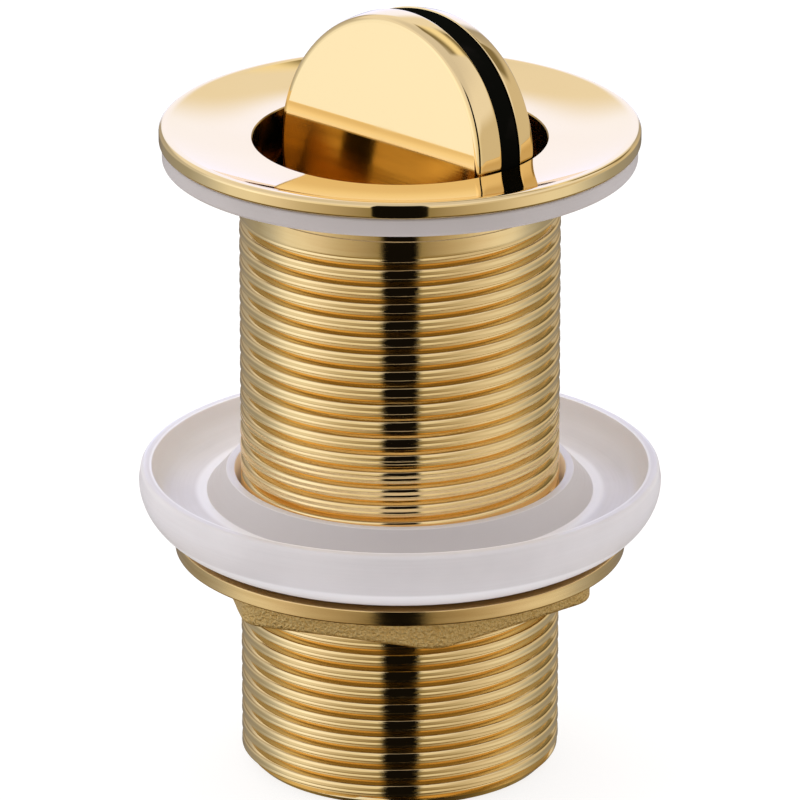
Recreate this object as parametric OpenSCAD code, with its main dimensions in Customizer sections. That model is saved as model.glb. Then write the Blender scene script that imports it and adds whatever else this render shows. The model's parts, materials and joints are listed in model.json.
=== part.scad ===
// Flip-top basin waste with a swivel plug, a threaded tail, a gasket, a cup washer and a back nut.
// Millimetres. Z is the axis of the tube and Z = 0 is the end of the tail. X is the plug's pivot axis.

/* [Flange] */
// Width of the flange outside the thread
flange_w = 10.345; // [9:0.005:20]
// Height of the flange's rim above the end of the tail
body_h = 87.4; // [84:0.1:120]
// Thickness of the flange at its rim
rim_t = 2.1; // [1.8:0.1:3]
// Depth of the dish from the rim down to the throat's edge
dish_depth = 1.56; // [1.3:0.01:1.7]
// Width of the flat crest round the dish
crest_w = 0.5; // [0.3:0.05:1.5]
// Rounding of the rim's upper edge
rim_round = 0.6; // [0.2:0.05:0.8]
// Rounding of the rim's lower edge
rim_under_round = 0.4; // [0.1:0.05:0.6]

/* [Throat] */
// Wall between the throat in which the plug turns and the outside of the neck
throat_wall = 1.7; // [1.5:0.05:2.2]
// Chamfer between the dish and the throat
throat_chamfer = 0.15; // [0.05:0.01:0.25]
// Drop from the plug's pivot axis to the shoulder under the throat
shoulder_drop = 8; // [7:0.1:9]
// Gap between the ball that the plug sweeps and the bore under the shoulder
bore_gap = 0.22; // [0.1:0.02:0.5]
// Drop from the throat's edge to the plug's pivot axis
plug_drop = 2.09; // [1.8:0.01:3]

/* [Tail] */
// Diameter over the thread's crests
thread_d = 41.91; // [41.9:0.01:42.6]
// Pitch of the thread
thread_pitch = 2.309; // [1.8:0.001:2.6]
// Depth of the thread
thread_depth = 1.06; // [0.6:0.01:1.2]
// Width of the thread's crest
crest_land = 0.9; // [0.6:0.05:1.1]
// Width of the thread's root
root_land = 0.3; // [0.1:0.05:0.5]
// Length of the plain neck between the flange and the thread
neck_l = 9.4; // [8.8:0.1:20]
// Step from the thread's crests down to the neck
neck_step = 0.105; // [0:0.005:0.3]
// Wall between the thread's root and the bore of the tail
tail_wall = 2.195; // [1.5:0.005:2.4]
// Length of the narrower bore under the shoulder
upper_bore_l = 16; // [12:0.5:30]
// Chamfer at the end of the tail
tail_chamfer = 1.5; // [0.5:0.1:1.8]

/* [Gasket] */
// Width by which the gasket stays inside the flange's rim
gasket_inset = 0.4; // [0:0.1:3]
// Thickness of the gasket
gasket_t = 2.54; // [1.5:0.01:4]
// Rounding of the gasket's outer edges
gasket_round = 0.45; // [0.1:0.05:0.7]
// Gap between the gasket's bore and the neck
gasket_gap = 0.1; // [0.05:0.05:0.5]

/* [Cup washer] */
// Drop from the flange's underside to the washer's underside
washer_drop = 54.06; // [20:0.01:68]
// Gap between the washer's bore and the thread's crests
washer_gap = 0.745; // [0.2:0.005:1.5]
// Width of the collar's flat top
collar_top_w = 1.1; // [0.5:0.1:2]
// Width that the collar gains down to the trough's floor
collar_flare = 2.6; // [1:0.1:4]
// Width of the trough's floor
trough_w = 4; // [2:0.1:8]
// Width that the trough gains up to the rim
trough_flare = 3.1; // [1.5:0.1:5]
// Width of the rounded rim
rim_w = 1.5; // [0.8:0.1:2]
// Width by which the side bulges past the rim
side_bulge = 0.3; // [0:0.05:0.8]
// Width from the bulging side in to the edge of the underside
foot_inset = 8.9; // [4:0.1:10]
// Thickness under the trough's floor
floor_t = 5.76; // [3:0.01:7]
// Height of the collar over the trough's floor
collar_rise = 3; // [1:0.1:4]
// Height of the rim over the trough's floor
rim_rise = 3.6; // [2.5:0.1:6]
// Drop from the top of the rim to the widest place of the side
bulge_drop = 1.86; // [1:0.01:3]

/* [Back nut] */
// Width of the nut's round flange outside its bore
nut_flange_w = 8.6; // [6:0.1:12]
// Thickness of the round flange
nut_flange_t = 2.04; // [1.5:0.01:3.5]
// Wall of the hexagon in the middle of its flats
nut_wall = 2.2; // [1.5:0.1:4]
// Height of the hexagon
nut_hex_h = 4.8; // [3:0.1:9]
// Rounding of the hexagon's corners
nut_corner_r = 4; // [2:0.1:6]
// Chamfer of the hexagon's lower edge
nut_chamfer = 0.6; // [0.2:0.1:1]
// Gap between the nut's bore and the thread's crests
nut_gap = 0.05; // [0.03:0.01:0.1]
// Turn of the hexagon about the tube's axis, in degrees
nut_turn = 25; // [0:1:59]

/* [Plug] */
// Gap between the plug's ball-shaped rim and the throat
plug_gap = 0.55; // [0.5:0.05:0.8]
// Thickness of the plug from face to face
plug_t = 10.5; // [9.5:0.1:11]
// Rounding of the edges of its two faces
face_round = 0.7; // [0.3:0.05:1.2]
// Width of the black ring at the rim
ring_w = 3.5; // [3.2:0.1:4]
// Gap between the black ring and the throat
ring_gap = 0.3; // [0.25:0.05:0.4]
// Depth of the black ring, from its rim to the hub inside it
ring_depth = 4.45; // [3:0.05:6]
// Gap between pieces of the plug that slip over each other
slip_gap = 0.03; // [0.02:0.01:0.1]
// Lean of the open plug from upright, in degrees
plug_lean = 8; // [0:0.1:20]

/* [Pivot pins] */
// Height of the pins' axis over the middle of the closed plug
pin_rise = 1.2; // [0.8:0.05:1.2]
// Brass left between a pin's head and the rear half of the plug
hub_skin = 1.35; // [1:0.05:1.6]
// Step from a pin's head down to its shank
pin_step = 0.5; // [0.3:0.05:0.8]
// Length of a pin's head
pin_head_l = 2.5; // [1.5:0.1:3]
// Length by which a pin enters the throat's wall
pin_grip = 0.9; // [0.5:0.05:1]
// Gap between a pin's end and the bottom of its dimple
pin_end_gap = 0.2; // [0.1:0.05:0.3]
// Running gap between a pin and its holes
pin_gap = 0.05; // [0.02:0.01:0.1]
// Chamfer of a pin's end
pin_chamfer = 0.4; // [0.1:0.05:0.5]
// Length of a pin's spring
spring_l = 4.6; // [3.5:0.1:6]
// Diameter of the spring's wire
spring_wire = 0.4; // [0.3:0.05:0.5]
// Turns of the spring
spring_turns = 4; // [3:1:5]

/* [Screw] */
// Diameter of the screw that clamps the plug's halves
screw_d = 5; // [4:0.1:6]
// Diameter of its countersunk head
screw_head_d = 9.6; // [8.5:0.1:11]
// Length of the screw
screw_l = 7.4; // [6.5:0.1:8]
// Width of the cross recess
recess_w = 1.1; // [0.8:0.1:1.3]
// Length of the cross recess
recess_l = 5; // [3.5:0.1:5.5]
// Depth of the cross recess
recess_depth = 1.4; // [1:0.1:1.6]

/* [Hidden] */
$fn = 96;

// Steps in which a quarter turn of an outline's rounding is drawn
arc_steps = 8;
// Overrun of every cutting solid
cut = 0.5;

// Heights and radii of the body
crest_r = thread_d / 2;
flange_r = crest_r + flange_w;
root_r = crest_r - thread_depth;
neck_r = crest_r - neck_step;
throat_r = neck_r - throat_wall;
throat_edge_r = throat_r + throat_chamfer;
throat_edge_z = body_h - dish_depth;
underside_z = body_h - rim_t;
plug_z = throat_edge_z - plug_drop;
shoulder_z = plug_z - shoulder_drop;
plug_r = throat_r - plug_gap;
ring_r = throat_r - ring_gap;
tail_bore_r = root_r - tail_wall;
tail_bore_l = shoulder_z - upper_bore_l;
thread_l = underside_z - neck_l;
thread_turns = floor(thread_l / thread_pitch);
flank_w = (thread_pitch - crest_land - root_land) / 2;

// The dish is an arc that lies level at the throat's edge and climbs to the crest
dish_out_r = flange_r - rim_round - crest_w;
dish_run = dish_out_r - throat_edge_r;
dish_arc_r = (dish_run * dish_run + dish_depth * dish_depth) / (2 * dish_depth);
dish_arc_deg = asin(dish_run / dish_arc_r);

// Heights of the washer, the gasket and the nut
gasket_z = underside_z - gasket_t;
washer_z = underside_z - washer_drop;
nut_flange_z = washer_z - nut_flange_t;
nut_z = nut_flange_z - nut_hex_h;
nut_bore_r = crest_r + nut_gap;
nut_flange_r = nut_bore_r + nut_flange_w;
nut_flat_r = nut_bore_r + nut_wall;

// Sizes of the plug
hub_r = ring_r - ring_depth;
half_t = plug_t / 2;
half_ring = ring_w / 2;
sweep_r = sqrt(max(plug_r * plug_r + pin_rise * (pin_rise + plug_t),
    ring_r * ring_r + pin_rise * (pin_rise + ring_w)));
upper_bore_r = sqrt(sweep_r * sweep_r - shoulder_drop * shoulder_drop) + bore_gap;
plug_turn = 90 - plug_lean;
pin_head_r = half_ring + pin_rise - hub_skin;
pin_r = pin_head_r - pin_step;
pin_end_x = throat_r + pin_grip;
pin_face_x = sqrt(hub_r * hub_r - pin_head_r * pin_head_r);
pin_seat_x = pin_face_x - pin_head_l;
spring_x = pin_seat_x - spring_l;
screw_r = screw_d / 2;
screw_head_r = screw_head_d / 2;
screw_head_h = screw_head_r - screw_r;

brass = "gold";
white_plastic = "white";

// Points of an arc about [x, y], counted from one angle to another
function arc(x, y, r, from, to, steps = arc_steps) =
    [for (i = [0:steps]) let (a = from + (to - from) * i / steps) [x + r * cos(a), y + r * sin(a)]];

// Flange, neck and tail in one turned outline
module body_outline() {
    polygon(concat(
        [[tail_bore_r, 0], [crest_r - tail_chamfer, 0], [root_r, tail_chamfer / 2]],
        [[root_r, thread_l], [neck_r, thread_l + flank_w], [neck_r, underside_z]],
        arc(flange_r - rim_under_round, underside_z + rim_under_round, rim_under_round, -90, 0),
        arc(flange_r - rim_round, body_h - rim_round, rim_round, 0, 90),
        [for (i = [arc_steps:-1:0]) let (a = dish_arc_deg * i / arc_steps)
            [throat_edge_r + dish_arc_r * sin(a), throat_edge_z + dish_arc_r * (1 - cos(a))]],
        [[throat_r, throat_edge_z - throat_chamfer], [throat_r, shoulder_z], [upper_bore_r, shoulder_z]],
        [[upper_bore_r, tail_bore_l], [tail_bore_r, tail_bore_l]]
    ));
}

// One ridge of the thread, standing on the root and centred on a height
module thread_ridge_outline(z) {
    polygon([[root_r - cut, z - crest_land / 2 - flank_w], [root_r, z - crest_land / 2 - flank_w],
        [crest_r, z - crest_land / 2], [crest_r, z + crest_land / 2],
        [root_r, z + crest_land / 2 + flank_w], [root_r - cut, z + crest_land / 2 + flank_w]]);
}

// Blind hole in the throat's wall that takes the end of a pivot pin
module pin_dimple() {
    translate([throat_r - cut, 0, plug_z])
        rotate([0, 90, 0])
            cylinder(h = cut + pin_grip + pin_end_gap, r = pin_r + pin_gap, $fn = 32);
}

module waste_body() color(brass) difference() {
    rotate_extrude() {
        body_outline();
        for (i = [1:thread_turns])
            thread_ridge_outline(thread_l - (i - 0.5) * thread_pitch);
    }
    pin_dimple();
    mirror([1, 0, 0]) pin_dimple();
}

module flange_gasket() color(white_plastic) rotate_extrude() {
    bore_r = crest_r + gasket_gap;
    out_r = flange_r - gasket_inset - gasket_round;
    polygon(concat(
        [[bore_r, gasket_z]],
        arc(out_r, gasket_z + gasket_round, gasket_round, -90, 0),
        arc(out_r, underside_z - gasket_round, gasket_round, 0, 90),
        [[bore_r, underside_z]]
    ));
}

// The washer is a cup with a bulging side, a rounded trough and a conical collar round the tail
module cup_washer() color(white_plastic) translate([0, 0, washer_z]) rotate_extrude() {
    bore_r = crest_r + washer_gap;
    collar_top_r = bore_r + collar_top_w;
    collar_r = collar_top_r + collar_flare;
    trough_r = collar_r + trough_w;
    lip_r = trough_r + trough_flare;
    edge_r = rim_w / 2;
    bulge_r = lip_r + rim_w + side_bulge;
    foot_r = bulge_r - foot_inset;
    washer_h = floor_t + rim_rise;
    trough_wall_h = rim_rise - edge_r;
    polygon(concat(
        [[bore_r, 0], [foot_r, 0]],
        [for (i = [1:arc_steps]) let (a = 90 * i / arc_steps)
            [foot_r + foot_inset * sin(a), (washer_h - bulge_drop) * (1 - cos(a))]],
        arc(lip_r + edge_r, washer_h - edge_r, edge_r, 0, 180),
        [for (i = [1:arc_steps]) let (a = 90 * i / arc_steps)
            [trough_r + trough_flare * cos(a), floor_t + trough_wall_h * (1 - sin(a))]],
        [[collar_r, floor_t], [collar_top_r, floor_t + collar_rise], [bore_r, floor_t + collar_rise]]
    ));
}

// Hexagon with round corners, given by its radius to the middle of a flat
module round_hexagon(flat_r, corner_r) {
    corner_at = (flat_r - corner_r) / cos(30);
    polygon([for (k = [0:5], i = [0:arc_steps]) let (a = 60 * k - 30 + 60 * i / arc_steps)
        [corner_at * cos(60 * k) + corner_r * cos(a), corner_at * sin(60 * k) + corner_r * sin(a)]]);
}

module back_nut() color(brass) difference() {
    union() {
        translate([0, 0, nut_flange_z]) cylinder(h = nut_flange_t, r = nut_flange_r);
        intersection() {
            translate([0, 0, nut_z]) rotate(nut_turn)
                linear_extrude(height = nut_hex_h) round_hexagon(nut_flat_r, nut_corner_r);
            translate([0, 0, nut_z])
                cylinder(h = nut_hex_h, r1 = nut_flat_r + nut_chamfer, r2 = nut_flat_r + nut_chamfer + nut_hex_h);
        }
    }
    translate([0, 0, nut_z - cut]) cylinder(h = washer_z - nut_z + 2 * cut, r = nut_bore_r);
}

// Puts what is drawn for the closed plug, face up about the origin, where the open plug is
module at_plug() {
    translate([0, 0, plug_z]) rotate([plug_turn, 0, 0]) translate([0, 0, -pin_rise]) children();
}

// Half of the plug's outline, from one height to its face, with the ball-shaped rim
module half_plug_outline(low) {
    face_r = sqrt(plug_r * plug_r - half_t * half_t) - face_round / 2;
    round_z = half_t - face_round;
    rim_deg = asin(round_z / plug_r);
    low_deg = asin(low / plug_r);
    polygon(concat(
        [[0, low]],
        arc(0, 0, plug_r, low_deg, rim_deg),
        [for (i = [1:arc_steps]) let (a = 90 * i / arc_steps)
            [face_r + (plug_r * cos(rim_deg) - face_r) * cos(a), round_z + face_round * sin(a)]],
        [[0, half_t]]
    ));
}

// Two blind bores in the hub, one for each spring and pin head
module pin_bores() {
    for (side = [0, 1]) mirror([side, 0, 0])
        translate([spring_x, 0, pin_rise]) rotate([0, 90, 0])
            cylinder(h = hub_r + slip_gap - spring_x, r = pin_head_r + pin_gap, $fn = 32);
}

// Bores through the rim for the shanks of the pins
module shank_bores() {
    for (side = [0, 1]) mirror([side, 0, 0])
        translate([hub_r - cut, 0, pin_rise]) rotate([0, 90, 0])
            cylinder(h = ring_r - hub_r + 2 * cut, r = pin_r + pin_gap, $fn = 32);
}

module disc_front() color(brass) at_plug() difference() {
    union() {
        rotate_extrude() half_plug_outline(half_ring);
        translate([0, 0, -half_ring]) cylinder(h = ring_w + cut, r = hub_r);
    }
    pin_bores();
    shank_bores();
    translate([0, 0, -half_ring - cut])
        cylinder(h = screw_l - (half_t - half_ring) + cut + slip_gap, r = screw_r + slip_gap, $fn = 48);
}

module disc_rear() color(brass) at_plug() mirror([0, 0, 1]) difference() {
    rotate_extrude() half_plug_outline(half_ring);
    translate([0, 0, half_ring - cut])
        cylinder(h = half_t - half_ring + 2 * cut, r = screw_r + slip_gap, $fn = 48);
    translate([0, 0, half_t - screw_head_h - slip_gap])
        cylinder(h = screw_head_h, r1 = screw_r, r2 = screw_head_r, $fn = 48);
    translate([0, 0, half_t - slip_gap])
        cylinder(h = slip_gap + cut, r = screw_head_r, $fn = 48);
}

module seal_ring() color("dimgray") at_plug() difference() {
    rotate_extrude() polygon(concat(
        [[hub_r + slip_gap, -half_ring]],
        arc(0, 0, ring_r, -asin(half_ring / ring_r), asin(half_ring / ring_r)),
        [[hub_r + slip_gap, half_ring]]
    ));
    shank_bores();
}

module disc_screw() color("silver") at_plug() mirror([0, 0, 1]) difference() {
    union() {
        translate([0, 0, half_t - screw_l]) cylinder(h = screw_l - slip_gap, r = screw_r, $fn = 48);
        translate([0, 0, half_t - screw_head_h])
            cylinder(h = screw_head_h - slip_gap, r1 = screw_r, r2 = screw_head_r - slip_gap, $fn = 48);
    }
    for (a = [0, 90]) rotate(a)
        translate([-recess_l / 2, -recess_w / 2, half_t - recess_depth]) cube([recess_l, recess_w, recess_depth + cut]);
}

// Headed pin along X, with its head in the hub and its end in the dimple
module pivot_pin() color(brass) translate([0, 0, plug_z]) rotate([0, 90, 0]) rotate_extrude($fn = 32)
    polygon([[0, pin_seat_x], [pin_head_r, pin_seat_x], [pin_head_r, pin_face_x], [pin_r, pin_face_x],
        [pin_r, pin_end_x - pin_chamfer], [pin_r - pin_chamfer, pin_end_x], [0, pin_end_x]]);

module pivot_pin_right() pivot_pin();

module pivot_pin_left() mirror([1, 0, 0]) pivot_pin();

// Round wire wound into a coil along Z, as one closed skin
module coil(length, coil_r, wire_r, turns, steps = 12, sides = 6) {
    rings = turns * steps;
    climb = length - 2 * wire_r;
    polyhedron(
        points = [for (i = [0:rings], j = [0:sides - 1])
            let (a = 360 * i / steps, b = 360 * j / sides, r = coil_r + wire_r * cos(b))
            [r * cos(a), r * sin(a), wire_r + climb * i / rings + wire_r * sin(b)]],
        faces = concat(
            [[for (j = [0:sides - 1]) j]],
            [for (i = [0:rings - 1], j = [0:sides - 1]) let (k = (j + 1) % sides)
                [i * sides + k, i * sides + j, (i + 1) * sides + j, (i + 1) * sides + k]],
            [[for (j = [sides - 1:-1:0]) rings * sides + j]]
        )
    );
}

module pin_spring() color("silver") translate([spring_x, 0, plug_z]) rotate([0, 90, 0])
    coil(spring_l, pin_head_r - spring_wire / 2 - pin_gap, spring_wire / 2, spring_turns);

module pin_spring_right() pin_spring();

module pin_spring_left() mirror([1, 0, 0]) pin_spring();

waste_body();
flange_gasket();
cup_washer();
back_nut();
disc_front();
disc_rear();
seal_ring();
disc_screw();
pivot_pin_left();
pivot_pin_right();
pin_spring_left();
pin_spring_right();
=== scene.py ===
"""Looks of a flip-top basin waste: gold plated brass, milky plastic and black rubber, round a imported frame.

Metres, in the row frame: Z is the axis of the tube, Z = 0 the end of its tail, X the plug's pivot axis.
"""

import json
from math import asin, atan2, cos, floor, pi, radians, sin, sqrt, tan

import bmesh
import bpy
from mathutils import Matrix, Vector, noise


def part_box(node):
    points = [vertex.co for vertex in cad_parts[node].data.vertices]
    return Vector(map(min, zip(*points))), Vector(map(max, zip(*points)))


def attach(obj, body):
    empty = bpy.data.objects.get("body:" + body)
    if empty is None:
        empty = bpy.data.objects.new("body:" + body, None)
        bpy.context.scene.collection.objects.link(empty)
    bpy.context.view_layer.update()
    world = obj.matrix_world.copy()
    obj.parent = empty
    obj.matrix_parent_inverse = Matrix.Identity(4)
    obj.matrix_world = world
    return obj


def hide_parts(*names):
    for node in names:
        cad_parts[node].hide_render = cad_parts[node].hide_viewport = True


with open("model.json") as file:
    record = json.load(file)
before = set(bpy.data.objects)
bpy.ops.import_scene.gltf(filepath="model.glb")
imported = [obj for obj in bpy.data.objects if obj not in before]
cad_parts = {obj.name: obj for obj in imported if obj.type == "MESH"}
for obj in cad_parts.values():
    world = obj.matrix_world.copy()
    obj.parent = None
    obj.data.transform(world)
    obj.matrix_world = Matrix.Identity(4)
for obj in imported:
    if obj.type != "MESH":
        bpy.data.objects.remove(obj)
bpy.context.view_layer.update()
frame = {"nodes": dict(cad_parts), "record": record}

MM = 0.001
NODES = frame["nodes"]

# Steps round the tube, round the plug and round the soft rings
BODY_STEPS = 144
PLUG_STEPS = 224
RING_STEPS = 192
# Distance from a rounding at which a straight stretch gets a second edge, so that flats stay flat in the gloss
SUPPORT = 0.05 * MM
WELD = 0.0005 * MM
SHARP = radians(36)


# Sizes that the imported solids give
body_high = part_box("waste_body")[1]
gasket_low, gasket_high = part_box("flange_gasket")
washer_low, washer_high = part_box("cup_washer")
nut_low, nut_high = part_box("back_nut")
FLANGE_R = body_high.x
BODY_TOP = body_high.z
GASKET_R = gasket_high.x
WASHER_R = washer_high.x
NUT_R = nut_high.x
PLUG_Z = frame["record"]["behaviour"]["joints"][0]["pos_m"][2]

# Sizes of the tube
RIM_T = 2.1 * MM
DISH_DEPTH = 1.56 * MM
CREST_W = 0.5 * MM
RIM_ROUND = 0.6 * MM
RIM_UNDER_ROUND = 0.4 * MM
THROAT_R = 19.15 * MM
THROAT_CHAMFER = 0.15 * MM
SHOULDER_DROP = 8 * MM
UPPER_BORE_R = 17.456 * MM
UPPER_BORE_L = 16 * MM
TAIL_BORE_R = 17.7 * MM
NECK_R = 20.85 * MM
CREST_R = 20.955 * MM
THREAD_DEPTH = 1.06 * MM
THREAD_PITCH = 2.309 * MM
CREST_LAND = 1.2 * MM
ROOT_LAND = 0.26 * MM
THREAD_END = 77.2 * MM
NECK_FOOT = 78.6 * MM
RUN_OUT_TURNS = 0.45
THREAD_PHASE = 0.75
TAIL_CHAMFER = 1.5 * MM

# Sizes of the plug
PLUG_R = 18.7 * MM
HALF_T = 5.25 * MM
HALF_RING = 1.75 * MM
FACE_ROUND = 1.5 * MM
FACE_TILT = tan(radians(4.2))
RING_R = 18.5 * MM
HUB_R = 14.4 * MM
PLUG_TURN = radians(82)
SLIP = 0.03 * MM
SCREW_R = 2.5 * MM
SCREW_HEAD_R = 4.8 * MM
SCREW_HOLE_TOP = 2.18 * MM

# Sizes of the holes for the pivot pins
PIN_RISE = 1.2 * MM
HEAD_BORE_R = 1.65 * MM
HEAD_BORE_X = 7.21 * MM
SHANK_BORE_R = 1.15 * MM
DIMPLE_X = 20.25 * MM

# Sizes of the cup washer
WASHER_BORE_R = 21.7 * MM
COLLAR_TOP_W = 1.1 * MM
COLLAR_FLARE = 2.6 * MM
TROUGH_W = 4 * MM
TROUGH_FLARE = 3.1 * MM
WASHER_RIM_W = 1.5 * MM
SIDE_BULGE = 0.3 * MM
FOOT_INSET = 8.9 * MM
FLOOR_T = 5.76 * MM
COLLAR_RISE = 3 * MM
RIM_RISE = 3.6 * MM
BULGE_DROP = 1.86 * MM

# Sizes of the back nut
NUT_BORE_R = 21.005 * MM
NUT_FLANGE_T = 2.04 * MM
NUT_FLAT_R = 23.205 * MM
NUT_CORNER_R = 4 * MM
NUT_CHAMFER = 0.6 * MM
NUT_TURN = radians(25)


class Wire:
    """A socket in a node tree. Sums written with it become Math nodes."""

    def __init__(self, tree, socket):
        self.tree = tree
        self.socket = socket

    def maths(self, operation, *values):
        node = self.tree.nodes.new("ShaderNodeMath")
        node.operation = operation
        for slot, value in zip(node.inputs, values):
            join(self.tree, value, slot)
        return Wire(self.tree, node.outputs[0])

    def __add__(self, other):
        return self.maths("ADD", self, other)

    def __radd__(self, other):
        return self.maths("ADD", other, self)

    def __sub__(self, other):
        return self.maths("SUBTRACT", self, other)

    def __rsub__(self, other):
        return self.maths("SUBTRACT", other, self)

    def __mul__(self, other):
        return self.maths("MULTIPLY", self, other)

    def __rmul__(self, other):
        return self.maths("MULTIPLY", other, self)

    def __truediv__(self, other):
        return self.maths("DIVIDE", self, other)

    def __gt__(self, other):
        return self.maths("GREATER_THAN", self, other)

    def __lt__(self, other):
        return self.maths("LESS_THAN", self, other)

    def __abs__(self):
        return self.maths("ABSOLUTE", self)


def join(tree, value, slot):
    """Sets a socket to a value, or links a wire to it."""
    if isinstance(value, Wire):
        tree.links.new(value.socket, slot)
    else:
        slot.default_value = value


class Tree:
    """The nodes of one finish, or of the studio."""

    def __init__(self, owner):
        owner.use_nodes = True
        self.tree = owner.node_tree
        self.tree.nodes.clear()

    def node(self, kind, settings=None, output=0, **sockets):
        """A node of any kind: its settings come first, then the values or wires of its sockets."""
        node = self.tree.nodes.new("ShaderNode" + kind)
        for key, value in (settings or {}).items():
            if key == "stops":
                while len(node.color_ramp.elements) < len(value):
                    node.color_ramp.elements.new(1)
                for element, (place, colour) in zip(node.color_ramp.elements, value):
                    element.position = place
                    element.color = (*colour, 1)
            else:
                setattr(node, key, value)
        for key, value in sockets.items():
            key = key.replace("_", " ")
            slots = [s for s in node.inputs if s.name == key and s.enabled]
            join(self.tree, value, slots[0])
        return Wire(self.tree, node.outputs[output] if node.outputs else None)

    def mix(self, share, first, second):
        """Blend of two colours."""
        node = self.tree.nodes.new("ShaderNodeMix")
        node.data_type = "RGBA"
        join(self.tree, share, node.inputs[0])
        join(self.tree, first, node.inputs[6])
        join(self.tree, second, node.inputs[7])
        return Wire(self.tree, node.outputs[2])

    def step(self, value, low, high):
        """Smooth step of a value, 0 below low and 1 above high."""
        return self.node("MapRange", {"interpolation_type": "SMOOTHSTEP"},
                         Value=value, From_Min=low, From_Max=high)

    def split(self, vector):
        node = self.tree.nodes.new("ShaderNodeSeparateXYZ")
        join(self.tree, vector, node.inputs[0])
        return [Wire(self.tree, out) for out in node.outputs]

    def where(self):
        """The place on the piece, in metres."""
        node = self.tree.nodes.new("ShaderNodeTexCoord")
        return Wire(self.tree, node.outputs["Object"])


class Finish(Tree):
    """A material made of one shader."""

    def __init__(self, name, **sockets):
        self.material = bpy.data.materials.new(name)
        super().__init__(self.material)
        self.shader = self.node("BsdfPrincipled", **sockets)
        self.node("OutputMaterial", Surface=self.shader)

    def set(self, **sockets):
        """Sets or links sockets of the shader."""
        for key, value in sockets.items():
            join(self.tree, value, self.shader.socket.node.inputs[key.replace("_", " ")])

    def ring_place(self, across, along, turn):
        """A place for patterns that run round the tube: radius, height and angle, each with its own scale."""
        x, y, z = self.split(self.where())
        radius = (x * x + y * y).maths("SQRT", x * x + y * y)
        angle = y.maths("ARCTAN2", y, x)
        return self.node("CombineXYZ", X=radius * across, Y=z * along, Z=angle * turn), radius, z, angle

    def bump(self, height, strength, distance, normal=None):
        sockets = {"Height": height, "Strength": strength, "Distance": distance}
        if normal is not None:
            sockets["Normal"] = normal
        return self.node("Bump", **sockets)


GOLD = (0.93, 0.725, 0.38, 1)
GOLD_EDGE = (1.0, 0.93, 0.80, 1)


def gold_polish(name):
    """Polished gold with faint wiping marks and patches of a warmer tone."""
    f = Finish(name, Metallic=1.0, Roughness=0.045, Base_Color=GOLD, Specular_Tint=GOLD_EDGE)
    smudge = f.node("TexNoise", Vector=f.where(), Scale=140.0, Detail=3.0)
    f.set(Roughness=0.035 + 0.03 * f.step(smudge, 0.42, 0.72))
    warm = f.node("TexNoise", Vector=f.where(), Scale=60.0, Detail=2.0)
    f.set(Base_Color=f.mix(f.step(warm, 0.3, 0.7), GOLD, (0.915, 0.705, 0.36, 1)))
    return f.material


def gold_face(name):
    """Polished gold of the plug's face, whose mirror image stands a little steeper than its outline."""
    f = Finish(name, Metallic=1.0, Roughness=0.04, Base_Color=GOLD, Specular_Tint=GOLD_EDGE)
    x, y, z = f.split(f.where())
    smudge = f.node("TexNoise", Vector=f.where(), Scale=140.0, Detail=3.0)
    f.set(Roughness=0.03 + 0.03 * f.step(smudge, 0.42, 0.72))
    f.set(Normal=f.bump((z - PLUG_Z) * -FACE_TILT, 1.0, 1.0))
    return f.material


def gold_turned(name, fine, depth, rough, groove_rough, line, light, dark):
    """Gold over turned brass: fine tool marks round the tube, duller in the grooves, with a painted dark line by the
    crests that stands in for a dark reflection.
    """
    f = Finish(name, Metallic=1.0, Base_Color=light, Specular_Tint=GOLD_EDGE)
    place, radius, z, angle = f.ring_place(fine, fine, 0.6)
    marks = f.node("TexNoise", Vector=place, Scale=1.0, Detail=3.0, Roughness=0.6)
    wide, *_ = f.ring_place(fine / 6, fine / 6, 2.0)
    patches = f.node("TexNoise", Vector=wide, Scale=1.0, Detail=2.0)
    groove = 1.0 - f.step(radius, CREST_R - 0.3 * MM, CREST_R - 0.05 * MM)
    f.set(Roughness=rough + 0.04 * f.step(patches, 0.35, 0.75) + groove_rough * groove)
    f.set(Normal=f.bump(marks, 0.6, depth))
    # Painted reflection: a dark brown band of colour just under the crest radius, as strong as line, stands in for the
    # dark reflection by each crest.
    edge = f.step(radius, CREST_R - 0.32 * MM, CREST_R - 0.26 * MM) - f.step(radius, CREST_R - 0.16 * MM, CREST_R - 0.1 * MM)
    f.set(Base_Color=f.mix(edge * line, f.mix(f.step(patches, 0.3, 0.8), light, dark), (0.30, 0.18, 0.05, 1)))
    return f.material


def gold_cast(name):
    """Gold plating over a sand casting."""
    f = Finish(name, Metallic=1.0, Base_Color=GOLD, Specular_Tint=GOLD_EDGE)
    sand = f.node("TexNoise", Vector=f.where(), Scale=3200.0, Detail=4.0, Roughness=0.7)
    lumps = f.node("TexVoronoi", Vector=f.where(), Scale=2200.0)
    f.set(Roughness=0.26 + 0.2 * f.step(sand, 0.3, 0.7))
    f.set(Normal=f.bump(sand + 0.5 * lumps, 1.0, 0.24 * MM))
    f.set(Base_Color=f.mix(f.step(sand, 0.35, 0.7), (0.87, 0.57, 0.20, 1), (1.0, 0.78, 0.38, 1)))
    return f.material


def milky_plastic(name, light, dark):
    """Turned milky plastic: satin, a little translucent, scuffed round. Gives the finish, its tone and radius."""
    f = Finish(name, Base_Color=light, Roughness=0.42, Subsurface_Weight=0.2,
               Subsurface_Radius=(1.0, 0.9, 0.9), Subsurface_Scale=1.2 * MM, Specular_IOR_Level=0.45)
    place, radius, z, angle = f.ring_place(2600.0, 2600.0, 1.6)
    marks = f.node("TexNoise", Vector=place, Scale=1.0, Detail=4.0, Roughness=0.6)
    cloud = f.node("TexNoise", Vector=f.where(), Scale=90.0, Detail=3.0)
    f.set(Roughness=0.3 + 0.14 * f.step(marks, 0.4, 0.7))
    tone = f.mix(f.step(cloud + 0.3 * marks, 0.45, 0.9), light, dark)
    f.set(Base_Color=tone)
    f.set(Normal=f.bump(marks, 0.5, 0.04 * MM))
    return f, tone, radius, z


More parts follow.
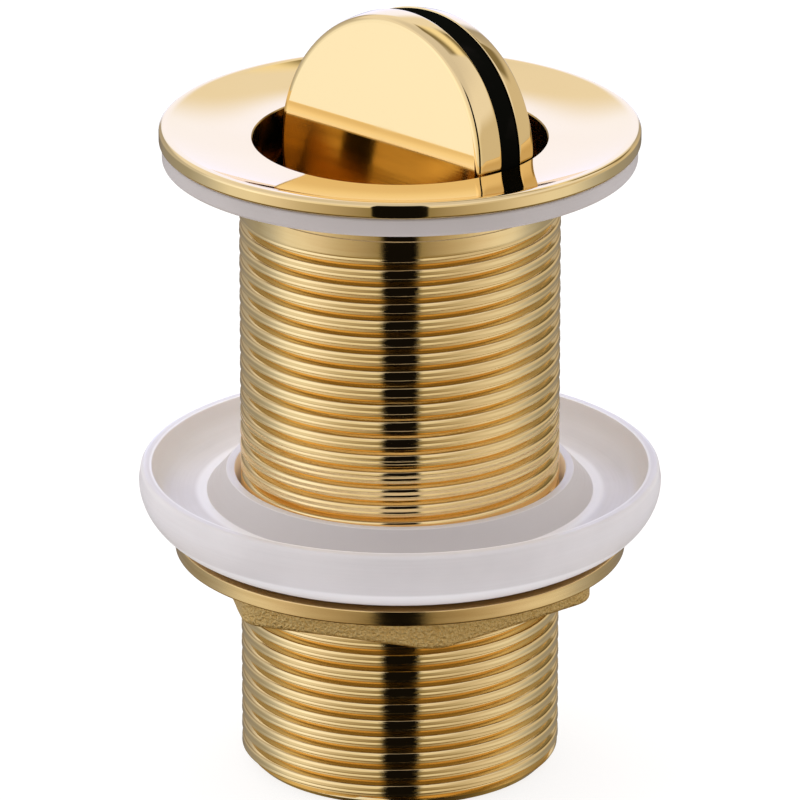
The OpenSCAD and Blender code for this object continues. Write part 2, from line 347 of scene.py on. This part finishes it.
def cup_plastic(name):
    """Plastic of the cup washer, with painted shade on the cone, a painted highlight on the trough floor by the cone
    and on the trough's outer wall and rim, and a painted glow on the wall of its bore.
    """
    f, tone, radius, z = milky_plastic(name, (0.81, 0.78, 0.78, 1), (0.75, 0.72, 0.72, 1))
    top_r = WASHER_BORE_R + COLLAR_TOP_W
    foot_r = top_r + COLLAR_FLARE
    wall_r = foot_r + TROUGH_W
    edge = 0.1 * MM
    # Painted shade and highlight: cone darkens the collar's cone; floor and wall lighten the trough floor by the cone
    # and the trough's outer wall and rim.
    cone = f.step(radius, top_r, top_r + edge) - f.step(radius, foot_r - edge, foot_r + edge)
    floor = f.step(radius, foot_r - edge, foot_r + edge) - f.step(radius, foot_r + 0.9 * MM, foot_r + 1.8 * MM)
    wall = f.step(radius, wall_r, wall_r + TROUGH_FLARE) - f.step(radius, wall_r + 3.3 * MM, wall_r + 3.7 * MM)
    tone = f.mix(cone, tone, (0.62, 0.585, 0.58, 1))
    tone = f.mix(floor + wall, tone, (0.98, 0.96, 0.97, 1))
    f.set(Base_Color=tone)
    # Painted glow: emission on the wall of the bore stands in for light coming through the plastic.
    bore = (1.0 - f.step(radius, WASHER_BORE_R, WASHER_BORE_R + edge)) * f.step(z, 34 * MM, 41 * MM)
    f.set(Emission_Color=f.mix(bore, (0, 0, 0, 1), (0.34, 0.25, 0.17, 1)))
    f.set(Emission_Strength=1.0)
    return f.material


def black_rubber(name):
    """Moulded rubber with a dull bloom."""
    f = Finish(name, Base_Color=(0.004, 0.004, 0.003, 1), Roughness=0.6, Specular_IOR_Level=0.0)
    bloom = f.node("TexNoise", Vector=f.where(), Scale=260.0, Detail=4.0)
    grain = f.node("TexNoise", Vector=f.where(), Scale=5200.0, Detail=2.0)
    f.set(Roughness=0.5 + 0.2 * f.step(bloom, 0.35, 0.7))
    f.set(Base_Color=f.mix(f.step(bloom, 0.5, 0.8), (0.004, 0.004, 0.003, 1), (0.008, 0.007, 0.006, 1)))
    f.set(Normal=f.bump(grain, 0.2, 0.02 * MM))
    return f.material


def plain_metal(name, colour, dark, rough):
    """Bare drawn or turned metal."""
    f = Finish(name, Metallic=1.0, Base_Color=colour)
    marks = f.node("TexNoise", Vector=f.where(), Scale=1800.0, Detail=3.0)
    f.set(Roughness=rough + 0.12 * f.step(marks, 0.35, 0.7))
    f.set(Base_Color=f.mix(f.step(marks, 0.3, 0.75), colour, dark))
    f.set(Normal=f.bump(marks, 0.2, 0.02 * MM))
    return f.material


DEEP_GOLD = (0.88, 0.66, 0.33, 1)
gold = gold_polish("polished_gold")
face_gold = gold_face("face_gold")
# The thread's 0.55 sets the strength of the painted dark reflection line by the crests.
thread_gold = gold_turned("turned_gold", 9000.0, 0.012 * MM, 0.025, 0.06, 0.55, GOLD, DEEP_GOLD)
# Painted shade: the bore's gold gets darker brown colours than the rest, standing in for the shade inside the throat.
bore_gold_painted_shade = gold_turned("bored_gold_painted_shade", 3500.0, 0.012 * MM, 0.13, 0.0, 0.0, (0.62, 0.42, 0.15, 1), (0.44, 0.28, 0.08, 1))
nut_gold = gold_turned("nut_gold", 6000.0, 0.03 * MM, 0.1, 0.0, 0.0, (0.84, 0.62, 0.30, 1), (0.72, 0.50, 0.22, 1))
cast_gold = gold_cast("cast_gold")
plastic = cup_plastic("milky_plastic")
# Painted shade: the gasket's plastic is a darker grey-brown copy of the washer's, standing in for the shade under the
# flange.
plastic_painted_shade = milky_plastic("plastic_painted_shade", (0.60, 0.555, 0.535, 1), (0.55, 0.51, 0.49, 1))[0].material
rubber = black_rubber("black_rubber")
steel = plain_metal("stainless_steel", (0.66, 0.61, 0.50, 1), (0.54, 0.50, 0.41, 1), 0.38)
brass = plain_metal("plain_brass", (0.88, 0.70, 0.40, 1), (0.78, 0.58, 0.30, 1), 0.25)


def rounded(corners, steps=5):
    """Outline through corners (r, z) or (r, z, rounding), with an arc and two more edges at each rounding."""
    points = []
    last = len(corners) - 1
    for i, corner in enumerate(corners):
        here = Vector(corner[:2])
        size = corner[2] if len(corner) > 2 else 0
        if not size or i in (0, last):
            points.append(here)
            continue
        before = (Vector(corners[i - 1][:2]) - here).normalized()
        after = (Vector(corners[i + 1][:2]) - here).normalized()
        half = before.angle(after) / 2
        reach = size / tan(half)
        centre = here + (before + after).normalized() * (size / sin(half))
        start = here + before * reach - centre
        end = here + after * reach - centre
        turn = start.angle_signed(end)
        points.append(here + before * (reach + SUPPORT))
        for k in range(steps + 1):
            angle = turn * k / steps
            points.append(centre + Vector((start.x * cos(angle) + start.y * sin(angle),
                                           start.y * cos(angle) - start.x * sin(angle))))
        points.append(here + after * (reach + SUPPORT))
    return points


def arc(centre, radius, low, high, steps):
    """Points of an arc from one angle to another, both in radians."""
    return [Vector((centre[0] + radius * cos(low + (high - low) * k / steps),
                    centre[1] + radius * sin(low + (high - low) * k / steps))) for k in range(steps + 1)]


def spun(outline, steps, closed):
    """A bmesh of an outline spun round Z."""
    bm = bmesh.new()
    verts = [bm.verts.new((r, 0, z)) for r, z in outline]
    edges = [bm.edges.new(pair) for pair in zip(verts, verts[1:])]
    if closed:
        edges.append(bm.edges.new((verts[-1], verts[0])))
    bmesh.ops.spin(bm, geom=verts + edges, cent=(0, 0, 0), axis=(0, 0, 1), dvec=(0, 0, 0),
                   angle=2 * pi, steps=steps, use_merge=True, use_duplicate=False)
    return bm


def finish_mesh(bm, name, finishes, place=None):
    """Welds, turns the faces outwards, shades and links a piece."""
    bmesh.ops.remove_doubles(bm, verts=bm.verts, dist=WELD)
    bmesh.ops.recalc_face_normals(bm, faces=bm.faces)
    if place is not None:
        bmesh.ops.transform(bm, matrix=place, verts=bm.verts)
    mesh = bpy.data.meshes.new(name)
    bm.to_mesh(mesh)
    bm.free()
    mesh.shade_smooth()
    mesh.set_sharp_from_angle(angle=SHARP)
    for finish in finishes:
        mesh.materials.append(finish)
    piece = bpy.data.objects.new(name, mesh)
    bpy.context.scene.collection.objects.link(piece)
    return piece


def cut_pin_holes(piece):
    """Cuts the stepped holes of both pivot pins out of a piece."""
    bm = bmesh.new()
    for side in (-1, 1):
        outline = [(0, HEAD_BORE_X), (HEAD_BORE_R, HEAD_BORE_X), (HEAD_BORE_R, HUB_R + SLIP),
                   (SHANK_BORE_R, HUB_R + SLIP), (SHANK_BORE_R, DIMPLE_X), (0, DIMPLE_X)]
        verts = [bm.verts.new((r, 0, z)) for r, z in outline]
        edges = [bm.edges.new(pair) for pair in zip(verts, verts[1:])]
        made = bmesh.ops.spin(bm, geom=verts + edges, cent=(0, 0, 0), axis=(0, 0, 1), dvec=(0, 0, 0),
                              angle=2 * pi, steps=32, use_merge=True, use_duplicate=False)
        place = Matrix.Translation((0, 0, PLUG_Z)) @ Matrix.Rotation(side * pi / 2, 4, "Y")
        new = {v for f in bm.faces if not f.tag for v in f.verts}
        bmesh.ops.transform(bm, matrix=place, verts=list(new))
        for face in bm.faces:
            face.tag = True
    tool = finish_mesh(bm, "pin_holes", [])
    cut = piece.modifiers.new("pin_holes", "BOOLEAN")
    cut.object = tool
    cut.solver = "EXACT"
    bpy.context.view_layer.update()
    mesh = bpy.data.meshes.new_from_object(piece.evaluated_get(bpy.context.evaluated_depsgraph_get()))
    piece.modifiers.clear()
    piece.data = mesh
    bpy.data.objects.remove(tool)


def settle(piece, body, slot, *nodes):
    """Hangs a piece on its body and hides the imported solids that it stands for; the slot is not used."""
    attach(piece, body)
    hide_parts(*nodes)
    return piece


def thread_profile():
    """One pitch of the thread, from one root to the next, as (radius, height over the first root).

    A bright bead runs along the lower edge of each crest, with a fine groove over it.
    """
    flank_w = (THREAD_PITCH - CREST_LAND - ROOT_LAND) / 2
    low = ROOT_LAND / 2 + flank_w
    high = low + CREST_LAND
    depth = THREAD_DEPTH / MM
    ends = [(depth, 0), (depth, ROOT_LAND / 2 / MM)]
    bead = [(0.14, -0.07), (0.05, -0.02), (0.01, 0.04), (0, 0.1), (0.014, 0.18), (0.058, 0.37), (0.066, 0.4)]
    land = [(0.062, -0.81), (0.018, -0.41), (0.022, -0.36), (0.085, -0.08), (0.17, 0.02)]
    steps = [(drop, z * MM) for drop, z in ends] + [(drop, low + z * MM) for drop, z in bead]
    steps += [(drop, high + z * MM) for drop, z in land]
    steps += [(drop, THREAD_PITCH - z * MM) for drop, z in reversed(ends)]
    return [Vector((CREST_R - drop * MM, z)) for drop, z in steps]


def turn_of(vert):
    """Share of a turn at which a point stands round the tube, from 0 to 1."""
    return (atan2(vert.co.y, vert.co.x) / (2 * pi)) % 1


def set_radius(vert, radius):
    """Moves a point in or out to a radius."""
    share = radius / vert.co.xy.length
    vert.co.x *= share
    vert.co.y *= share


def thread_mesh():
    """The right-hand thread, cut flat at the end of the tail and at the foot of the neck."""
    bm = bmesh.new()
    start = -1.5 * THREAD_PITCH
    turns = floor((NECK_FOOT - start) / THREAD_PITCH) + 2
    chain = [bm.verts.new((p.x, 0, start + p.y)) for p in thread_profile()]
    edges = [bm.edges.new(pair) for pair in zip(chain, chain[1:])]
    bmesh.ops.spin(bm, geom=chain + edges, cent=(0, 0, 0), axis=(0, 0, 1), dvec=(0, 0, THREAD_PITCH / BODY_STEPS),
                   angle=2 * pi, steps=BODY_STEPS, use_merge=False, use_duplicate=False)
    made = 1
    while made < turns:
        more = bmesh.ops.duplicate(bm, geom=list(bm.verts) + list(bm.edges) + list(bm.faces))["geom"]
        bmesh.ops.translate(bm, verts=[v for v in more if isinstance(v, bmesh.types.BMVert)],
                            vec=(0, 0, made * THREAD_PITCH))
        made *= 2
    spare = [v for v in bm.verts if v.co.z > start + turns * THREAD_PITCH]
    bmesh.ops.delete(bm, geom=spare, context="VERTS")
    bmesh.ops.remove_doubles(bm, verts=bm.verts, dist=WELD)
    bmesh.ops.rotate(bm, verts=bm.verts, cent=(0, 0, 0), matrix=Matrix.Rotation(2 * pi * THREAD_PHASE, 3, "Z"))
    for vert in bm.verts:
        along = (vert.co.z - start) / THREAD_PITCH - (turn_of(vert) - THREAD_PHASE) % 1
        last = (THREAD_END - start) / THREAD_PITCH
        groove = floor(along + 0.5) + (turn_of(vert) - THREAD_PHASE) % 1
        fade = min(1, max(0, (last - groove) / RUN_OUT_TURNS))
        fade = fade * fade * (3 - 2 * fade)
        set_radius(vert, CREST_R - (CREST_R - vert.co.xy.length) * fade)
    whole = list(bm.verts) + list(bm.edges) + list(bm.faces)
    bmesh.ops.bisect_plane(bm, geom=whole, plane_co=(0, 0, 0), plane_no=(0, 0, -1), clear_outer=True, dist=WELD)
    whole = list(bm.verts) + list(bm.edges) + list(bm.faces)
    bmesh.ops.bisect_plane(bm, geom=whole, plane_co=(0, 0, NECK_FOOT), plane_no=(0, 0, 1), clear_outer=True,
                           dist=WELD)
    for height in (TAIL_CHAMFER, 0.75 * TAIL_CHAMFER, 0.5 * TAIL_CHAMFER, 0.25 * TAIL_CHAMFER):
        near = [v for v in bm.verts if v.co.z < 2 * TAIL_CHAMFER]
        faces = {f for v in near for f in v.link_faces}
        rim = {e for f in faces for e in f.edges}
        corners = {v for f in faces for v in f.verts}
        bmesh.ops.bisect_plane(bm, geom=list(corners) + list(rim) + list(faces), plane_co=(0, 0, height),
                               plane_no=(0, 0, 1), dist=WELD)
    for vert in bm.verts:
        cone = CREST_R - TAIL_CHAMFER + vert.co.z
        if vert.co.xy.length > cone:
            set_radius(vert, cone)
    bmesh.ops.remove_doubles(bm, verts=bm.verts, dist=20 * WELD)
    return bm


def open_loop(bm, height):
    """The open edges that lie at a height."""
    return [e for e in bm.edges if e.is_boundary and all(abs(v.co.z - height) < 0.04 * MM for v in e.verts)]


def carry_loop(bm, loop, outline, material):
    """Pulls an open loop through the points of an outline, face by face."""
    for r, z in outline:
        made = bmesh.ops.extrude_edge_only(bm, edges=loop)["geom"]
        loop = [e for e in made if isinstance(e, bmesh.types.BMEdge)]
        for vert in {v for e in loop for v in e.verts}:
            set_radius(vert, r)
            vert.co.z = z
        for face in [f for f in made if isinstance(f, bmesh.types.BMFace)]:
            face.material_index = material
    return loop


def dish_points():
    """The dish from the crest of the rim down to the throat's edge."""
    edge_r = THROAT_R + THROAT_CHAMFER
    edge_z = BODY_TOP - DISH_DEPTH
    run = FLANGE_R - RIM_ROUND - CREST_W - edge_r
    radius = (run * run + DISH_DEPTH * DISH_DEPTH) / (2 * DISH_DEPTH)
    sweep = asin(run / radius)
    steps = 26
    return [Vector((edge_r + radius * sin(sweep * k / steps), edge_z + radius * (1 - cos(sweep * k / steps))))
            for k in range(steps, -1, -1)]


def make_body():
    """Flange, dish, throat, neck and threaded tail."""
    bm = thread_mesh()
    for face in bm.faces:
        face.material_index = 1
    edge_z = BODY_TOP - DISH_DEPTH
    under = BODY_TOP - RIM_T
    shoulder = PLUG_Z - SHOULDER_DROP
    step = shoulder - UPPER_BORE_L
    outside = rounded([(CREST_R, NECK_FOOT), (NECK_R, NECK_FOOT + CREST_R - NECK_R), (NECK_R, under),
                       (FLANGE_R, under, RIM_UNDER_ROUND), (FLANGE_R, BODY_TOP, RIM_ROUND),
                       (FLANGE_R - RIM_ROUND - CREST_W, BODY_TOP)], 6)[1:]
    crowded = {v for e in open_loop(bm, NECK_FOOT) for v in e.verts}
    bmesh.ops.remove_doubles(bm, verts=list(crowded), dist=0.42 * MM)
    loop = carry_loop(bm, open_loop(bm, NECK_FOOT), outside[:2], 1)
    loop = carry_loop(bm, loop, outside[2:] + dish_points()[1:], 0)
    inside = rounded([(THROAT_R + THROAT_CHAMFER, edge_z), (THROAT_R, edge_z - THROAT_CHAMFER),
                      (THROAT_R, shoulder, 0.3 * MM), (UPPER_BORE_R, shoulder, 0.3 * MM), (UPPER_BORE_R, step),
                      (TAIL_BORE_R, step), (TAIL_BORE_R, 0)], 4)[1:]
    loop = carry_loop(bm, loop, inside, 2)
    foot = [e for e in open_loop(bm, 0) if e not in set(loop)]
    for face in bmesh.ops.bridge_loops(bm, edges=foot + loop)["faces"]:
        face.material_index = 1
    piece = finish_mesh(bm, "tube", [gold, thread_gold, bore_gold_painted_shade])
    cut_pin_holes(piece)
    return settle(piece, "tube", "polished_gold", "waste_body")


def make_gasket():
    """Plastic ring under the flange."""
    low, high = gasket_low.z, gasket_high.z
    bore_r = CREST_R + 0.1 * MM
    outline = rounded([(bore_r, (low + high) / 2), (bore_r, low, 0.1 * MM), (GASKET_R, low, 0.55 * MM),
                       (GASKET_R, high, 0.45 * MM), (bore_r, high), (bore_r, (low + high) / 2)], 6)[:-1]
    piece = finish_mesh(spun(outline, RING_STEPS, True), "gasket", [plastic_painted_shade])
    return settle(piece, "tube", "white_plastic", "flange_gasket")


def make_washer():
    """Plastic cup with a bulging side, a rounded trough and a conical collar."""
    low, high = washer_low.z, washer_high.z
    collar_top = WASHER_BORE_R + COLLAR_TOP_W
    collar_r = collar_top + COLLAR_FLARE
    trough_r = collar_r + TROUGH_W
    lip_r = trough_r + TROUGH_FLARE
    edge_r = WASHER_RIM_W / 2
    foot_r = WASHER_R - FOOT_INSET
    floor_z = low + FLOOR_T
    wall_h = RIM_RISE - edge_r
    side_h = high - low - BULGE_DROP
    side = [Vector((foot_r + FOOT_INSET * sin(pi / 2 * k / 20), low + side_h * (1 - cos(pi / 2 * k / 20))))
            for k in range(1, 21)]
    rim = rounded([side[-1], (lip_r + WASHER_RIM_W, high, 0.6 * MM), (lip_r + 0.1 * MM, high, 0.12 * MM),
                   (lip_r, high - edge_r)], 6)[1:-1]
    trough = [Vector((trough_r + TROUGH_FLARE * cos(pi / 2 * k / 14), floor_z + wall_h * (1 - sin(pi / 2 * k / 14))))
              for k in range(15)]
    collar = rounded([(trough_r, floor_z), (collar_r, floor_z, 0.12 * MM), (collar_top, floor_z + COLLAR_RISE, 0.2 * MM),
                      (WASHER_BORE_R, floor_z + COLLAR_RISE, 0.15 * MM), (WASHER_BORE_R, low, 0.3 * MM),
                      (foot_r, low)], 5)[1:]
    piece = finish_mesh(spun(side + rim + trough + collar, RING_STEPS, True), "cup_washer_ring", [plastic])
    return settle(piece, "washer", "white_plastic", "cup_washer")


def hexagon_radius(angle):
    """Distance from the nut's axis to the side of its hexagon with round corners."""
    part = (angle - NUT_TURN + pi / 6) % (pi / 3) - pi / 6
    corner_at = (NUT_FLAT_R - NUT_CORNER_R) / cos(pi / 6)
    meet = atan2(NUT_CORNER_R * sin(pi / 6), corner_at + NUT_CORNER_R * cos(pi / 6))
    if abs(part) < meet:
        return corner_at * cos(part) + sqrt(NUT_CORNER_R ** 2 - (corner_at * sin(part)) ** 2)
    return NUT_FLAT_R / cos(pi / 6 - abs(part))


def make_nut():
    """Back nut: a turned round flange over a sand-cast hexagon."""
    low, high = nut_low.z, nut_high.z
    ledge = high - NUT_FLANGE_T
    side = 1.02 * NUT_FLAT_R
    rows = 12
    wall = [(side, low + NUT_CHAMFER + (ledge - low - NUT_CHAMFER) * k / rows) for k in range(1, rows)]
    outline = rounded([(NUT_BORE_R, high), (NUT_BORE_R, low, 0.2 * MM), (side, low, NUT_CHAMFER), *wall,
                       (side, ledge), (NUT_R, ledge, 0.25 * MM), (NUT_R, high, 0.15 * MM), (NUT_BORE_R, high)], 4)[:-1]
    bm = spun(outline, 240, True)
    for vert in bm.verts:
        radius = vert.co.xy.length
        if radius < side + WELD and radius > NUT_BORE_R + 0.3 * MM and vert.co.z < ledge + WELD:
            angle = atan2(vert.co.y, vert.co.x)
            wanted = hexagon_radius(angle) - (side - radius)
            lump = noise.noise(vert.co * 400) * 0.05 * MM + noise.noise(vert.co * 1300) * 0.025 * MM
            set_radius(vert, wanted + lump * (ledge - vert.co.z > WELD))
    for face in bm.faces:
        middle = face.calc_center_median()
        face.material_index = int(middle.z < ledge - WELD and middle.xy.length > NUT_BORE_R + 0.1 * MM)
    piece = finish_mesh(bm, "nut", [nut_gold, cast_gold])
    return settle(piece, "nut", "cast_gold", "back_nut")


def plug_place():
    """From the closed plug, face up about the origin, to the open one."""
    turned = Matrix.Translation((0, 0, PLUG_Z)) @ Matrix.Rotation(PLUG_TURN, 4, "X")
    return turned @ Matrix.Translation((0, 0, -PIN_RISE))


def ball_side():
    """Ball-shaped rim of one half of the plug, from its face down to the black ring."""
    face_r = sqrt(PLUG_R ** 2 - HALF_T ** 2)
    corner = asin((HALF_T - FACE_ROUND * 0.62) / PLUG_R)
    ring = asin((HALF_RING + 0.1 * MM) / PLUG_R)
    rim = arc((0, 0), PLUG_R, corner, ring, 12)
    low_r = rim[-1].x - 0.1 * MM
    return [Vector((face_r - FACE_ROUND * 0.55 - SUPPORT, HALF_T)),
            *blend_round(face_r - FACE_ROUND * 0.55, rim[0], rim[1]), *rim[1:],
            Vector((low_r + 0.07 * MM, HALF_RING + 0.03 * MM)), Vector((low_r, HALF_RING)),
            Vector((PLUG_R * 0.97, HALF_RING))]


def blend_round(flat_r, meet, after, steps=7):
    """Rounding from the flat face to the ball, level at one end and in line with the ball at the other."""
    flat = Vector((flat_r, HALF_T))
    slope = (meet - after).normalized()
    knee = meet + slope * ((HALF_T - meet.y) / slope.y)
    points = []
    for k in range(steps + 1):
        t = k / steps
        points.append(flat * (1 - t) ** 2 + knee * 2 * t * (1 - t) + meet * t ** 2)
    return points


def make_front():
    """Front half of the plug, with the hub that carries the pins."""
    rim = ball_side()
    hole_r = SCREW_R + SLIP
    outline = [Vector((0, HALF_T)), Vector((HUB_R * 0.6, HALF_T)), *rim,
               *rounded([(HUB_R, HALF_RING), (HUB_R, -HALF_RING), (hole_r, -HALF_RING),
                         (hole_r, SCREW_HOLE_TOP), (0, SCREW_HOLE_TOP)])]
    bm = spun(outline, PLUG_STEPS, False)
    for face in bm.faces:
        face.material_index = int(face.calc_center_median().z > HALF_T - WELD)
    piece = finish_mesh(bm, "plug_front", [gold, face_gold], plug_place())
    cut_pin_holes(piece)
    return settle(piece, "plug", "polished_gold", "disc_front")


def make_rear():
    """Rear half of the plug, countersunk for the screw."""
    rim = ball_side()
    hole_r = SCREW_R + SLIP
    sink = SCREW_HEAD_R - SCREW_R
    outline = [Vector((hole_r, HALF_T - sink)), Vector((SCREW_HEAD_R + SLIP, HALF_T - SLIP)),
               Vector((SCREW_HEAD_R + SLIP + SUPPORT, HALF_T)), Vector((HUB_R * 0.6, HALF_T)), *rim,
               Vector((hole_r, HALF_RING))]
    bm = spun(outline, PLUG_STEPS, True)
    bmesh.ops.rotate(bm, verts=bm.verts, cent=(0, 0, 0), matrix=Matrix.Rotation(pi, 3, "X"))
    piece = finish_mesh(bm, "plug_rear", [gold], plug_place())
    return settle(piece, "plug", "polished_gold", "disc_rear")


def make_ring():
    """Black ring between the two halves."""
    reach = asin(HALF_RING / RING_R)
    bore = HUB_R + SLIP
    rim = arc((0, 0), RING_R, -reach * 0.9, reach * 0.9, 12)
    outline = [Vector((bore, -HALF_RING)), Vector((RING_R * cos(reach) - 0.25 * MM, -HALF_RING)), *rim,
               Vector((RING_R * cos(reach) - 0.25 * MM, HALF_RING)), Vector((bore, HALF_RING))]
    piece = finish_mesh(spun(outline, PLUG_STEPS, True), "sealing_ring", [rubber], plug_place())
    cut_pin_holes(piece)
    return settle(piece, "plug", "black_rubber", "seal_ring")


def dress(node, material):
    """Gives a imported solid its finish."""
    NODES[node].data.materials.clear()
    NODES[node].data.materials.append(material)


make_body()
make_gasket()
make_washer()
make_nut()
make_front()
make_rear()
make_ring()
dress("disc_screw", steel)
for side in ("left", "right"):
    dress("pivot_pin_" + side, brass)
    dress("pin_spring_" + side, steel)

# The photograph's viewpoint
VIEW_TURN = radians(44.4)
VIEW_RISE = radians(20.54)
VIEW_FAR = 1.2
AIM = Vector((0, 0, 49.3 * MM))
FOCAL = 412.2
SENSOR = 36


def make_camera():
    away = Vector((sin(VIEW_TURN) * cos(VIEW_RISE), -cos(VIEW_TURN) * cos(VIEW_RISE), sin(VIEW_RISE)))
    data = bpy.data.cameras.new("camera")
    data.lens = FOCAL
    data.sensor_width = SENSOR
    data.clip_start = 0.05
    data.clip_end = 50
    camera = bpy.data.objects.new("camera", data)
    camera.location = AIM + away * VIEW_FAR
    camera.rotation_euler = away.to_track_quat("Z", "Y").to_euler()
    bpy.context.scene.collection.objects.link(camera)
    bpy.context.scene.camera = camera


def make_floor():
    """Pale floor."""
    bm = bmesh.new()
    bmesh.ops.create_grid(bm, x_segments=1, y_segments=1, size=6)
    mesh = bpy.data.meshes.new("floor")
    bm.to_mesh(mesh)
    bm.free()
    f = Finish("floor", Base_Color=(0.30, 0.29, 0.28, 1), Roughness=0.9, Specular_IOR_Level=0.0,
               Emission_Color=(1.0, 1.0, 1.0, 1), Emission_Strength=0.79)
    mesh.materials.append(f.material)
    floor_piece = bpy.data.objects.new("floor", mesh)
    bpy.context.scene.collection.objects.link(floor_piece)
    floor_piece.visible_glossy = False
    floor_piece.visible_diffuse = False


def make_studio():
    """Soft light all round: two broad panels at the sides, a cool one behind, a dark gap in front, dark below."""
    world = bpy.data.worlds.new("studio")
    bpy.context.scene.world = world
    t = Tree(world)
    coord = t.node("TexCoord", output=0)
    x, y, z = t.split(coord)
    front = x * sin(VIEW_TURN) - y * cos(VIEW_TURN)
    right = x * cos(VIEW_TURN) + y * sin(VIEW_TURN)
    turn = abs(right.maths("ARCTAN2", right, front)) * (1 / pi)
    low = t.node("ValToRGB", {"stops": [
        (0.0, (0.26, 0.21, 0.13)), (0.082, (0.30, 0.25, 0.15)),
        (0.128, (0.385, 0.325, 0.23)), (0.194, (0.50, 0.43, 0.32)), (0.261, (0.60, 0.54, 0.44)),
        (0.333, (0.76, 0.70, 0.63)), (0.411, (0.85, 0.82, 0.77)), (0.494, (0.82, 0.81, 0.79)),
        (0.589, (0.52, 0.53, 0.56)), (0.672, (0.38, 0.38, 0.38)), (0.761, (0.34, 0.34, 0.36)),
        (0.86, (0.30, 0.30, 0.32)), (0.93, (0.22, 0.20, 0.18)), (1.0, (0.16, 0.14, 0.12))]}, Fac=turn)
    high = t.node("ValToRGB", {"stops": [
        (0.0, (0.80, 0.74, 0.62)), (0.2, (0.88, 0.84, 0.76)), (0.40, (1.20, 1.22, 1.34)), (0.52, (1.02, 1.06, 1.18)),
        (0.60, (0.66, 0.66, 0.70)), (0.90, (0.42, 0.41, 0.44)), (0.93, (1.04, 1.20, 2.0)),
        (1.0, (1.06, 1.22, 2.1))]}, Fac=turn)
    high = t.mix(t.step(right, 0.25, 0.7), high, (0.68, 0.62, 0.54, 1))
    upper = t.mix(t.step(z, 0.33, 0.5), high, (0.90, 0.89, 0.96, 1))
    upper = t.mix(t.step(z, 0.62, 0.9), upper, (0.72, 0.71, 0.78, 1))
    behind = t.step(turn, 0.70, 0.74) * t.step(z - 0.33 * t.step(turn, 0.82, 0.88), 0.28, 0.36)
    behind = behind * t.step(right, 0.0, 0.08) * (1.0 - t.step(z, 0.8, 0.88))
    across = 0.139 * z - 0.99 * y
    streak = t.step(across, -0.59, -0.55) - t.step(across, -0.52, -0.46)
    upper = t.mix(behind, upper, t.mix(streak, (0.24, 0.20, 0.12, 1), (1.0, 0.92, 0.72, 1)))
    lifted = z + 0.1 * t.step(turn, 0.6, 0.85)
    seen = t.mix(t.step(lifted, -0.17, 0.0), low, upper)
    seen = t.mix(t.step(z, -0.6, -0.46), (0.24, 0.18, 0.07, 1), seen)
    seen = t.mix(t.step(z, -0.92, -0.7), (0.03, 0.022, 0.014, 1), seen)
    gap = (1.0 - t.step(turn, 0.071, 0.078)) * (1.0 - t.step(z, 0.72, 0.86))
    seen = t.mix(gap, seen, (0.006, 0.005, 0.004, 1))
    level = t.mix(t.step(turn, 0.15, 0.6), (0.88, 0.85, 0.86, 1), (1.04, 1.03, 1.08, 1))
    over = t.mix(t.step(turn, 0.15, 0.5), (0.36, 0.35, 0.35, 1), (1.42, 1.39, 1.40, 1))
    soft = t.mix(t.step(z, -0.1, 0.4), level, over)
    seen = t.mix(t.node("LightPath", output=2), seen, soft)
    shown = t.mix(t.node("LightPath", output=0), seen, (0.97, 0.97, 0.97, 1))
    sky = t.node("Background", Color=shown, Strength=1.0)
    t.node("OutputWorld", Surface=sky)


def make_lamp():
    """Broad lamp overhead, for soft shadows."""
    data = bpy.data.lights.new("overhead", "AREA")
    data.shape = "DISK"
    data.size = 0.8
    data.energy = 2.5
    lamp = bpy.data.objects.new("overhead", data)
    lamp.location = (-0.3, -0.7, 1.3)
    lamp.rotation_euler = (lamp.location - AIM).to_track_quat("Z", "Y").to_euler()
    lamp.visible_glossy = False
    lamp.visible_camera = False
    bpy.context.scene.collection.objects.link(lamp)


make_camera()
make_floor()
make_studio()
make_lamp()
bpy.context.scene.view_settings.view_transform = "Standard"
